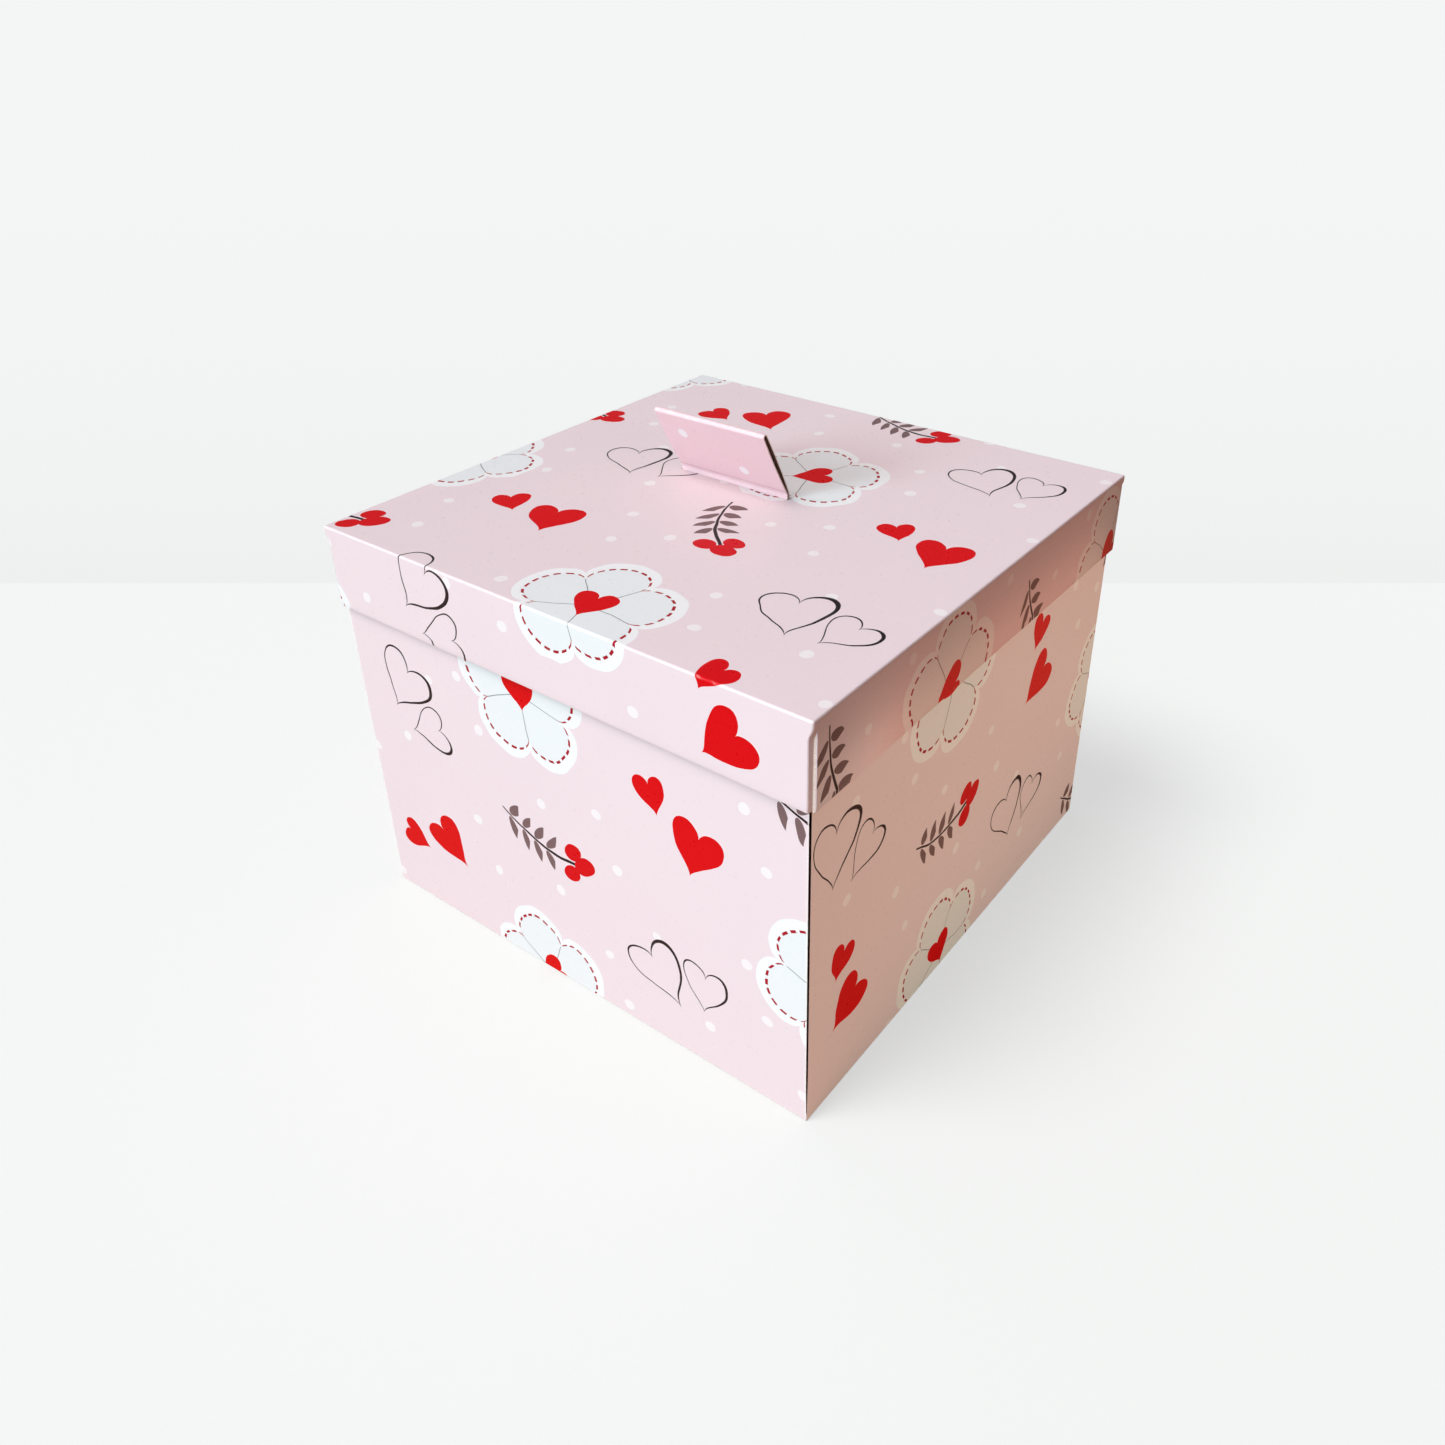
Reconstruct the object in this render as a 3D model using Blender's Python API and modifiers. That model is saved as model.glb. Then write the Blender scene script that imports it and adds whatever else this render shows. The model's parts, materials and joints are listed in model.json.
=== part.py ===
"""Explosion gift box: a printed card box whose lift-off lid holds up three layers of fall-open walls.

Metres, +Z up. The origin is the middle of the base's underside. The front wall looks to -Y.
Every wall and leaf turns on the crease along its foot, which is its object's origin.
"""

from math import cos, pi, radians, sin

import bmesh
import bpy

# Whole box
lid_width = 0.1500
box_height = 0.1150

# Gaps between pieces: glued, resting or creased, and passing each other as they move
glue_line = 0.0001
seat_gap = 0.0003
crease_gap = 0.0003
fall_gap = 0.0003

# Lid: one sheet whose skirts are doubled over at their lower edge
lid_card = 0.0005
skirt_layers = 2
skirt_depth = 0.0225
lid_clearance = 0.0004
lid_fold_radius = 0.0012
rim_roll = 0.0003
seam_width = 0.0003
seam_depth = 0.0004
seam_wrap = 0.0018
seam_stop = 0.0010
hem_stop = 0.0020

# Handle: a strip folded into a loop that stands out of a slit in the lid
handle_x = -0.0085
handle_y = 0.0075
handle_width = 0.0360
handle_length = 0.0230
handle_lean = radians(28.0)
handle_card = 0.0004
handle_pivot_height = 0.0014
handle_foot_offset = 0.00025
handle_fold_radius = 0.0006
handle_belly = 0.0009
handle_flange = 0.0140
slit_clearance = 0.0004

# Outer walls and the pages glued on them
wall_card = 0.0008
wall_edge_radius = 0.00025
wall_corner_radius = 0.0008
corner_gap = 0.0003
corner_ease = 0.0004
page_card = 0.0004
page_margin = 0.0060
page_corner_radius = 0.0030

# Middle and inner leaves
leaf_card = 0.0006
leaf_edge_radius = 0.0002
layer_inset = 0.0055
layer_drop = 0.0080
middle_corner_radius = 0.0060
inner_corner_radius = 0.0160
pocket_height = 0.0560
pocket_scoop_radius = 0.0130
mat_height = 0.0620
mat_corner_radius = 0.0050

# Small gift box in the middle
gift_width = 0.0600
gift_height = 0.0520
gift_card = 0.0006
gift_fold_radius = 0.0009
gift_rim_roll = 0.0002
gift_lid_depth = 0.0180
gift_lid_clearance = 0.0004

# Counts and cutters
side_names = ("front", "right", "back", "left")
arc_steps = 5
fold_steps = 3
edge_steps = 2
handle_steps = 8
cut_overrun = 0.0020
sharp_angle = radians(60.0)
smooth_angle = radians(35.0)

# Sizes worked out from the values above
skirt_wall = skirt_layers * lid_card
wall_half = lid_width / 2 - skirt_wall - lid_clearance
wall_top = box_height - lid_card - seat_gap
middle_half = wall_half - layer_inset
inner_half = middle_half - layer_inset
middle_foot = wall_card + glue_line + page_card + fall_gap
inner_foot = middle_foot + leaf_card + glue_line + page_card + fall_gap
gift_foot = inner_foot + leaf_card + glue_line
quarter_turn = pi / 2


def make_collections():
    """The box's pieces go in one collection and the cutters in another."""
    found = {}
    for name in ("explosion_gift_box", "cutters"):
        found[name] = bpy.data.collections.new(name)
        bpy.context.scene.collection.children.link(found[name])
    return found["explosion_gift_box"], found["cutters"]


def card_material(name, colour, roughness):
    material = bpy.data.materials.new(name)
    material.use_nodes = True
    shader = material.node_tree.nodes["Principled BSDF"]
    shader.inputs["Base Color"].default_value = (*colour, 1.0)
    shader.inputs["Roughness"].default_value = roughness
    shader.inputs["Metallic"].default_value = 0.0
    return material


def mesh_from(bm, name, material):
    """Turns an edited shape into a mesh with its own material and smooth folds."""
    bmesh.ops.recalc_face_normals(bm, faces=bm.faces)
    mesh = bpy.data.meshes.new(name)
    bm.to_mesh(mesh)
    bm.free()
    mesh.materials.append(material)
    mesh.shade_smooth()
    mesh.set_sharp_from_angle(angle=smooth_angle)
    return mesh


def add_piece(name, mesh, collection, location=(0.0, 0.0, 0.0), turn=0.0, parent=None):
    piece = bpy.data.objects.new(name, mesh)
    piece.location = location
    piece.rotation_euler.z = turn
    piece.parent = parent
    collection.objects.link(piece)
    return piece


def add_cutter(name, bm, collection):
    mesh = bpy.data.meshes.new(name)
    bmesh.ops.recalc_face_normals(bm, faces=bm.faces)
    bm.to_mesh(mesh)
    bm.free()
    cutter = bpy.data.objects.new(name, mesh)
    cutter.hide_render = True
    cutter.display_type = "WIRE"
    collection.objects.link(cutter)
    return cutter


def cut(piece, cutter):
    """Takes the cutter away from the piece, in the piece's own frame."""
    cutter.parent = piece
    modifier = piece.modifiers.new("cut_" + cutter.name, "BOOLEAN")
    modifier.operation = "DIFFERENCE"
    modifier.solver = "EXACT"
    modifier.object = cutter


def round_sharp_edges(piece, radius):
    modifier = piece.modifiers.new("edge_rounding", "BEVEL")
    modifier.limit_method = "ANGLE"
    modifier.angle_limit = sharp_angle
    modifier.width = radius
    modifier.segments = edge_steps


def block(half_x, half_y, low, high):
    """A box that is centred on Z and runs from low to high."""
    bm = bmesh.new()
    bmesh.ops.create_cube(bm, size=1.0)
    bmesh.ops.scale(bm, vec=(2 * half_x, 2 * half_y, high - low), verts=bm.verts)
    bmesh.ops.translate(bm, vec=(0.0, 0.0, (low + high) / 2), verts=bm.verts)
    return bm


def folded_block(half, low, high, radius, closed_at):
    """A box with round corner folds, and round folds along its closed end."""
    bm = block(half, half, low, high)

    def is_fold(edge):
        first, second = edge.verts
        upright = abs(first.co.z - second.co.z) > radius
        at_closed_end = all(abs(vert.co.z - closed_at) < radius for vert in edge.verts)
        return upright or at_closed_end

    folds = [edge for edge in bm.edges if is_fold(edge)]
    bmesh.ops.bevel(
        bm, geom=folds, offset=radius, segments=fold_steps, profile=0.5, affect="EDGES"
    )
    return bm


def arc(centre_x, centre_z, radius, start, end, steps=arc_steps):
    """Points along a round stretch of an outline, from one angle to another."""
    points = []
    for step in range(steps + 1):
        angle = start + (end - start) * step / steps
        points.append((centre_x + radius * cos(angle), centre_z + radius * sin(angle)))
    return points


def panel_outline(foot_half, top_half, height, radius):
    """A wall or leaf: square at its foot, drawn in a little and rounded at the top."""
    outline = [(-foot_half, 0.0), (foot_half, 0.0)]
    outline += arc(top_half - radius, height - radius, radius, 0.0, quarter_turn)
    outline += arc(radius - top_half, height - radius, radius, quarter_turn, pi)
    return outline


def page_outline(half_width, height, radius):
    """A page with four round corners, standing on Z = 0."""
    x = half_width - radius
    z = height - radius
    outline = arc(x, radius, radius, -quarter_turn, 0.0)
    outline += arc(x, z, radius, 0.0, quarter_turn)
    outline += arc(-x, z, radius, quarter_turn, pi)
    outline += arc(-x, radius, radius, pi, pi + quarter_turn)
    return outline


def pocket_outline(half_width, height, scoop):
    """A pocket: open along the top, with a thumb scoop in the middle of that edge."""
    outline = [(-half_width, 0.0), (half_width, 0.0), (half_width, height)]
    outline += arc(0.0, height, scoop, 0.0, -pi, 2 * arc_steps)
    outline.append((-half_width, height))
    return outline


def mat_outline(half_width, height, radius):
    """A photo mat whose corners are scooped inwards."""
    outline = arc(half_width, 0.0, radius, pi, quarter_turn)
    outline += arc(half_width, height, radius, -quarter_turn, -pi)
    outline += arc(-half_width, height, radius, 0.0, -quarter_turn)
    outline += arc(-half_width, 0.0, radius, quarter_turn, 0.0)
    return outline


def card_from(outline, thickness, inner_width_share=1.0):
    """Card cut to an outline in X and Z, with its outer face at Y = 0 and its sides mitred."""
    bm = bmesh.new()
    verts = [bm.verts.new((x, 0.0, z)) for x, z in outline]
    face = bm.faces.new(verts)
    grown = bmesh.ops.extrude_face_region(bm, geom=[face])["geom"]
    far_verts = [item for item in grown if isinstance(item, bmesh.types.BMVert)]
    bmesh.ops.translate(bm, vec=(0.0, thickness, 0.0), verts=far_verts)
    bmesh.ops.scale(bm, vec=(inner_width_share, 1.0, 1.0), verts=far_verts)
    return bm


def at_side(index, half, foot):
    """Where the crease of a side's panel lies, and the turn that faces it outwards."""
    turn = index * quarter_turn
    location = (half * sin(turn), -half * cos(turn), foot)
    return location, turn


def add_floor(name, half, card, foot, material, collection):
    """A floor panel, which stops short of the creases along its four sides."""
    edge = half - card - crease_gap
    mesh = mesh_from(block(edge, edge, foot, foot + card), name, material)
    floor = add_piece(name, mesh, collection)
    round_sharp_edges(floor, leaf_edge_radius)
    return floor


def add_floor_page(name, half, foot, material, collection):
    """A page glued on a floor panel, inside the feet of the leaves round it."""
    edge = half - page_margin
    mesh = mesh_from(block(edge, edge, foot, foot + page_card), name, material)
    return add_piece(name, mesh, collection)


def add_ring(prefix, half, foot, top, card, corner, edge_radius, material, collection):
    """Four panels of one layer, each with its origin on the crease along its foot."""
    foot_half = half - corner_gap
    outline = panel_outline(foot_half, foot_half - corner_ease, top - foot, corner)
    mitre_share = (foot_half - card) / foot_half
    mesh = mesh_from(card_from(outline, card, mitre_share), prefix, material)
    panels = []
    for index, side in enumerate(side_names):
        location, turn = at_side(index, half, foot)
        panel = add_piece(prefix + "_" + side, mesh, collection, location, turn)
        round_sharp_edges(panel, edge_radius)
        panels.append(panel)
    return panels


def add_glued(prefix, outline, panels, card, lift, material, collection):
    """One page on the inner face of each panel of a layer."""
    mesh = mesh_from(card_from(outline, page_card), prefix, material)
    for side, panel in zip(side_names, panels):
        place = (0.0, card + glue_line, lift)
        add_piece(prefix + "_" + side, mesh, collection, place, parent=panel)


def add_outer_layer(materials, collection):
    add_floor("base_floor", wall_half, wall_card, 0.0, materials["print"], collection)
    page_foot = wall_card + glue_line
    add_floor_page("base_page", middle_half, page_foot, materials["page"], collection)
    walls = add_ring(
        "wall", wall_half, 0.0, wall_top, wall_card, wall_corner_radius,
        wall_edge_radius, materials["print"], collection,
    )
    page_height = wall_top - 2 * page_margin
    outline = page_outline(wall_half - 2 * page_margin, page_height, page_corner_radius)
    add_glued("wall_page", outline, walls, wall_card, page_margin, materials["page"], collection)


def add_middle_layer(materials, collection):
    rose = materials["rose"]
    add_floor("middle_floor", middle_half, leaf_card, middle_foot, rose, collection)
    page_foot = middle_foot + leaf_card + glue_line
    add_floor_page("middle_page", inner_half, page_foot, materials["page"], collection)
    leaves = add_ring(
        "middle_leaf", middle_half, middle_foot, wall_top - layer_drop, leaf_card,
        middle_corner_radius, leaf_edge_radius, rose, collection,
    )
    outline = pocket_outline(middle_half - 2 * page_margin, pocket_height, pocket_scoop_radius)
    add_glued("pocket", outline, leaves, leaf_card, page_margin, materials["pocket"], collection)


def add_inner_layer(materials, collection):
    cream = materials["cream"]
    add_floor("inner_floor", inner_half, leaf_card, inner_foot, cream, collection)
    leaves = add_ring(
        "inner_leaf", inner_half, inner_foot, wall_top - 2 * layer_drop, leaf_card,
        inner_corner_radius, leaf_edge_radius, cream, collection,
    )
    outline = mat_outline(inner_half - 2 * page_margin, mat_height, mat_corner_radius)
    lift = 2 * page_margin
    add_glued("photo_mat", outline, leaves, leaf_card, lift, materials["rose"], collection)


def add_gift_box(materials, collection, cutters):
    """The small box in the middle: a tray and a lid that lifts off it."""
    half = gift_width / 2
    rim = gift_foot + gift_height
    tray_block = folded_block(half, gift_foot, rim, gift_fold_radius, gift_foot)
    tray = add_piece("gift_tray", mesh_from(tray_block, "gift_tray", materials["cream"]), collection)
    tray_floor = gift_foot + gift_card
    inside = block(half - gift_card, half - gift_card, tray_floor, rim + cut_overrun)
    cut(tray, add_cutter("gift_tray_inside", inside, cutters))
    round_sharp_edges(tray, gift_rim_roll)

    lid_half = half + gift_lid_clearance + gift_card
    lid_under = rim + seat_gap
    lid_low = lid_under - gift_lid_depth
    lid_block = folded_block(
        lid_half, lid_low, lid_under + gift_card, gift_fold_radius, lid_under + gift_card
    )
    lid = add_piece("gift_lid", mesh_from(lid_block, "gift_lid", materials["red"]), collection)
    inside = block(lid_half - gift_card, lid_half - gift_card, lid_low - cut_overrun, lid_under)
    cut(lid, add_cutter("gift_lid_inside", inside, cutters))
    round_sharp_edges(lid, gift_rim_roll)


def add_lid(materials, collection, cutters):
    """The lid: top and skirts from one sheet, a slit for the handle, and a seam by each corner."""
    half = lid_width / 2
    low = box_height - skirt_depth
    under = box_height - lid_card
    lid_block = folded_block(half, low, box_height, lid_fold_radius, box_height)
    lid = add_piece("lid", mesh_from(lid_block, "lid", materials["print"]), collection)
    inside = block(half - skirt_wall, half - skirt_wall, low - cut_overrun, under)
    cut(lid, add_cutter("lid_inside", inside, cutters))
    round_sharp_edges(lid, rim_roll)
    above_hem = block(half - lid_card, half - lid_card, under - hem_stop, under)
    cut(lid, add_cutter("above_hem", above_hem, cutters))

    slit_half_width = handle_card + slit_clearance
    slit_half_length = handle_width / 2 + slit_clearance
    slit = block(slit_half_length, slit_half_width, under - cut_overrun, box_height + cut_overrun)
    bmesh.ops.translate(slit, vec=(handle_x, handle_y, 0.0), verts=slit.verts)
    cut(lid, add_cutter("handle_slit", slit, cutters))

    seam_top = box_height - lid_fold_radius - seam_stop
    for sign in (-1, 1):
        seam = block(half + cut_overrun, seam_width / 2, low - cut_overrun, seam_top)
        bmesh.ops.translate(seam, vec=(0.0, sign * (half - seam_wrap), 0.0), verts=seam.verts)
        name = "corner_seams_front" if sign < 0 else "corner_seams_back"
        cutter = add_cutter(name, seam, cutters)
        core = block(half - seam_depth, half, low - 2 * cut_overrun, box_height)
        cut(cutter, add_cutter(name + "_core", core, cutters))
        cut(lid, cutter)
    return lid


def add_handle_flanges(materials, collection, lid):
    """The glued feet of the handle: two flanges under the lid, joined by the stem in the slit."""
    under = box_height - lid_card - glue_line
    low = under - handle_card
    stem = handle_card
    outline = [
        (-handle_flange, low), (handle_flange, low), (handle_flange, under), (stem, under),
        (stem, box_height), (-stem, box_height), (-stem, under), (-handle_flange, under),
    ]
    bm = card_from(outline, handle_width)
    bmesh.ops.translate(bm, vec=(0.0, -handle_width / 2, 0.0), verts=bm.verts)
    mesh = mesh_from(bm, "handle_flanges", materials["print"])
    place = (handle_x, handle_y, 0.0)
    add_piece("handle_flanges", mesh, collection, place, quarter_turn, lid)


def handle_section():
    """The loop's mid line in Y and Z: pinched at the foot, bellied, and folded at the top."""
    foot = seat_gap - handle_pivot_height
    fold = handle_length - handle_pivot_height - handle_fold_radius - handle_card / 2
    leaf = []
    for step in range(handle_steps + 1):
        share = step / handle_steps
        spread = handle_foot_offset * (1 - share) + handle_fold_radius * share
        spread += handle_belly * sin(pi * share)
        leaf.append((spread, foot + (fold - foot) * share))
    back = leaf[:-1]
    front = [(-y, z) for y, z in reversed(back)]
    return back + arc(0.0, fold, handle_fold_radius, 0.0, pi) + front


def add_handle_loop(materials, collection, lid):
    """The folded strip that the fingers take, turning on the crease at its foot."""
    bm = bmesh.new()
    verts = [bm.verts.new((-handle_width / 2, y, z)) for y, z in handle_section()]
    edges = [bm.edges.new(pair) for pair in zip(verts, verts[1:])]
    grown = bmesh.ops.extrude_edge_only(bm, edges=edges)["geom"]
    far_verts = [item for item in grown if isinstance(item, bmesh.types.BMVert)]
    bmesh.ops.translate(bm, vec=(handle_width, 0.0, 0.0), verts=far_verts)
    mesh = mesh_from(bm, "handle_loop", materials["print"])
    place = (handle_x, handle_y, box_height + handle_pivot_height)
    loop = add_piece("handle_loop", mesh, collection, place, parent=lid)
    loop.rotation_euler.x = handle_lean
    modifier = loop.modifiers.new("card_thickness", "SOLIDIFY")
    modifier.thickness = handle_card
    modifier.offset = 0.0
    modifier.use_even_offset = True


def make_materials():
    return {
        "print": card_material("printed_pink_card", (0.87, 0.69, 0.72), 0.35),
        "page": card_material("page_card", (0.90, 0.85, 0.82), 0.75),
        "rose": card_material("rose_card", (0.72, 0.33, 0.38), 0.70),
        "pocket": card_material("pocket_card", (0.92, 0.80, 0.82), 0.60),
        "cream": card_material("cream_card", (0.90, 0.86, 0.80), 0.75),
        "red": card_material("red_card", (0.62, 0.02, 0.05), 0.45),
    }


def main():
    for old in list(bpy.data.objects):
        bpy.data.objects.remove(old)
    collection, cutters = make_collections()
    materials = make_materials()
    add_outer_layer(materials, collection)
    add_middle_layer(materials, collection)
    add_inner_layer(materials, collection)
    add_gift_box(materials, collection, cutters)
    lid = add_lid(materials, collection, cutters)
    add_handle_flanges(materials, collection, lid)
    add_handle_loop(materials, collection, lid)


main()
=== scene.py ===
import json
from collections import namedtuple
from math import cos, pi, radians, sin, sqrt

import bmesh
import bpy
from mathutils import Matrix, Vector

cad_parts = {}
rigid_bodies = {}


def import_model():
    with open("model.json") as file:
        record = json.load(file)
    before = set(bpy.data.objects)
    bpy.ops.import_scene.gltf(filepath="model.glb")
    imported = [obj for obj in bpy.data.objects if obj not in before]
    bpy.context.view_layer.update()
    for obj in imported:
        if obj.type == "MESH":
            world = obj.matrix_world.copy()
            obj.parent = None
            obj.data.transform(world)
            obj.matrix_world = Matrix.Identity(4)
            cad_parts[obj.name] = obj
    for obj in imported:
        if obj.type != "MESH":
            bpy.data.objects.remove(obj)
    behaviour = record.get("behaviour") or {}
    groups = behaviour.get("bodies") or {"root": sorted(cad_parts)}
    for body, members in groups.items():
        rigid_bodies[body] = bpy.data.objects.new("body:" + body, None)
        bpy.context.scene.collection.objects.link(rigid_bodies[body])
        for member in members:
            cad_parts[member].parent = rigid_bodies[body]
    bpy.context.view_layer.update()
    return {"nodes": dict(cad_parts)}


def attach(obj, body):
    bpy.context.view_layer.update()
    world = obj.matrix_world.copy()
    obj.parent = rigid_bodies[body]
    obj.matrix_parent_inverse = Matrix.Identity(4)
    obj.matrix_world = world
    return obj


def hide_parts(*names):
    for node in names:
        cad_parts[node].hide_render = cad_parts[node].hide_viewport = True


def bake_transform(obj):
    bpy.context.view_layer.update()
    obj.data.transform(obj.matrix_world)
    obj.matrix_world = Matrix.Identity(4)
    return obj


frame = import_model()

# Sizes in metres, the same as in the part's source
mm = 0.001
box_height = 0.1150
lid_half = 0.0750
lid_card = 0.0005
skirt_wall = 0.0010
skirt_depth = 0.0225
hem_stop = 0.0020
handle_x = -0.0085
handle_y = 0.0075
handle_width = 0.0360
handle_length = 0.0230
handle_lean = radians(28.0)
handle_card = 0.0004
handle_pivot_height = 0.0014
handle_foot_offset = 0.00025
handle_fold_radius = 0.0006
handle_flange = 0.0140
glue_line = 0.0001
slit_clearance = 0.0004
wall_half = 0.0736
wall_top = 0.1142
wall_card = 0.0008
wall_corner_radius = 0.0008
sides = ("front", "right", "back", "left")
middle_half = 0.0681
middle_foot = 0.0016
inner_half = 0.0626
inner_foot = 0.0030
leaf_card = 0.0006
page_card = 0.0004
page_margin = 0.0060
pocket_height = 0.0560
mat_height = 0.0620

# Folds, corners and edges as they look seen close to, finer than in the part's source
lid_fold_radius = 0.00055
seam_wrap = 0.00120
corner_inset = 0.00110
corner_slant = 0.00025
corner_radius = 0.00050
inner_corner_inset = 0.00030
inner_corner_round = 0.00030
skirt_end_round = 0.00020
skirt_bow = 0.00010
top_sag = 0.00020
under_fold = 0.00060
handle_belly = 0.00030
handle_bend_start = 0.0006
handle_bend_radius = 0.0004
handle_lean_in = 0.0016
strip_edge = 0.00008
crease_shade_place = 0.0208
wall_edge_round = 0.00018
highlight_border = 0.00020
wall_ease_height = 0.014
wall_gaps = ((0.00003, 0.00020, 0.00028), (0.00008, 0.00035, 0.00050))
wall_mitres = (0.0008, 0.0013)

# How finely round and bowed forms are cut, and how near points count as one
fold_steps = 8
half_side_steps = 7
corner_steps = 6
panel_steps = 6
flange_steps = 6
leaf_steps = 30
handle_fold_steps = 12
weld = 0.000001

# Where the lid and the walls lie on the printed sheet
lid_on_sheet = (0.015, -0.004)
walls_on_sheet = ((0.031, 0.022), (0.305, 0.063), (0.512, 0.010), (0.771, 0.040))

MATH = "ShaderNodeMath"
VECTOR = "ShaderNodeVectorMath"
MIX = "ShaderNodeMix"
NOISE = "ShaderNodeTexNoise"
RANGE = "ShaderNodeMapRange"
MAPPING = "ShaderNodeMapping"
JOIN = "ShaderNodeCombineXYZ"
SPLIT = "ShaderNodeSeparateXYZ"


def tint(code):
    """A screen colour in hex as linear light."""
    parts = [int(code[i:i + 2], 16) / 255 for i in (1, 3, 5)]
    return tuple(c / 12.92 if c <= 0.04045 else ((c + 0.055) / 1.055) ** 2.4 for c in parts) + (1.0,)


def live(sockets):
    """The sockets that a node's settings leave in use."""
    return [socket for socket in sockets if socket.enabled]


def put(tree, kind, feeds=(), **settings):
    """Adds one node, or one use of a node group. Feeds are sockets, nodes or values, by name or in a row."""
    is_group = isinstance(kind, bpy.types.NodeTree)
    made = tree.nodes.new("ShaderNodeGroup" if is_group else kind)
    if is_group:
        made.node_tree = kind
    for key, value in settings.items():
        setattr(made, key, value)
    if isinstance(feeds, dict):
        pairs = [(made.inputs[name], feed) for name, feed in feeds.items()]
    else:
        pairs = zip(live(made.inputs), feeds)
    for taker, feed in pairs:
        if isinstance(feed, bpy.types.Node):
            feed = live(feed.outputs)[0]
        if isinstance(feed, bpy.types.NodeSocket):
            tree.links.new(feed, taker)
        else:
            taker.default_value = feed
    return made


def steps(tree, value, *operations, kind=MATH):
    """Sends a value through a row of nodes of one kind: each has its operation and what else it takes."""
    for operation, *others in operations:
        value = put(tree, kind, [value, *others], operation=operation)
    return value


def new_group(name, takes, gives, kind="ShaderNodeTree"):
    """A node group with the names and kinds of what it takes and gives, and the sockets of what it takes."""
    tree = bpy.data.node_groups.new(name, kind)
    for way, sockets in (("INPUT", takes), ("OUTPUT", gives)):
        for label, socket in sockets.items():
            tree.interface.new_socket(label, in_out=way, socket_type="NodeSocket" + socket)
    return tree, put(tree, "NodeGroupInput").outputs


def ink_over(tree, under, ink, colour):
    """One colour over another, as far as the ink covers. A colour is a socket, a node or a hex code."""
    under, colour = [tint(code) if isinstance(code, str) else code for code in (under, colour)]
    return put(tree, MIX, [ink, under, colour], data_type="RGBA")


def dot_ink(tree, point, places):
    """Ink of the round dots that lie at these places, each with its radius."""
    total = None
    for x, y, radius in places:
        off = put(tree, VECTOR, [point, (x, y, 0.0)], operation="DISTANCE")
        ink = steps(tree, off, ("LESS_THAN", radius))
        total = ink if total is None else steps(tree, total, ("MAXIMUM", ink))
    return total


# The print. Every motif is drawn in millimetres round its own middle, and gives 1 where there is ink

POINT = {"Point": "Vector"}
GROUND = {"Ground": "Color"}


def heart_motif():
    """A plain heart. Size is half its width."""
    lift, squash = 0.22, 1.22
    gives = {"Ink": "Float", "Reach": "Float"}
    tree, given = new_group("heart_motif", POINT | {"Size": "Float"}, gives)
    spot = put(tree, VECTOR, [given["Point"], given["Size"]], operation="DIVIDE")
    spot = put(tree, SPLIT, [spot]).outputs
    x = steps(tree, spot["X"], ("ABSOLUTE",))
    root = steps(tree, x, ("SQRT",))
    y = steps(tree, spot["Y"], ("ADD", lift), ("MULTIPLY", squash), ("SUBTRACT", root))
    reach = put(tree, VECTOR, [put(tree, JOIN, [x, y])], operation="LENGTH")
    put(tree, "NodeGroupOutput", {"Ink": steps(tree, reach, ("LESS_THAN", 1.0)), "Reach": reach})
    return tree


def blossom_motif(heart):
    """A five-petalled blossom with a stitched line inside its edge and a heart for its eye."""
    waist, petal, petal_round, border = 15.4, 6.2, 0.55, 3.0
    stitch_half, stitch_count, stitch_share = 0.36, 42, 0.62
    vein_half, eye_half = 0.30, 5.4
    gives = dict.fromkeys(("Shape", "Inside", "Line", "Stitch", "Eye"), "Float")
    tree, given = new_group("blossom_motif", POINT, gives)
    spot = put(tree, SPLIT, [given["Point"]]).outputs
    reach = put(tree, VECTOR, [given["Point"]], operation="LENGTH")
    turn = steps(tree, spot["X"], ("ARCTAN2", spot["Y"]))
    wave = steps(tree, turn, ("MULTIPLY", 5 / 2), ("COSINE",), ("ABSOLUTE",))
    edge = steps(tree, wave, ("POWER", petal_round), ("MULTIPLY_ADD", petal, waist))
    seam = steps(tree, edge, ("SUBTRACT", border))
    shape = steps(tree, reach, ("LESS_THAN", edge))
    inside = steps(tree, reach, ("LESS_THAN", seam))
    dash = steps(tree, turn, ("MULTIPLY", stitch_count / (2 * pi)), ("FRACT",), ("LESS_THAN", stitch_share))
    stitch = steps(
        tree, reach, ("SUBTRACT", seam), ("ABSOLUTE",), ("LESS_THAN", stitch_half), ("MULTIPLY", dash)
    )
    line = steps(tree, wave, ("MULTIPLY", reach), ("LESS_THAN", vein_half), ("MULTIPLY", inside))
    eye = put(tree, heart, {"Point": given["Point"], "Size": eye_half})
    put(tree, "NodeGroupOutput", [shape, inside, line, stitch, eye])
    return tree


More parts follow.
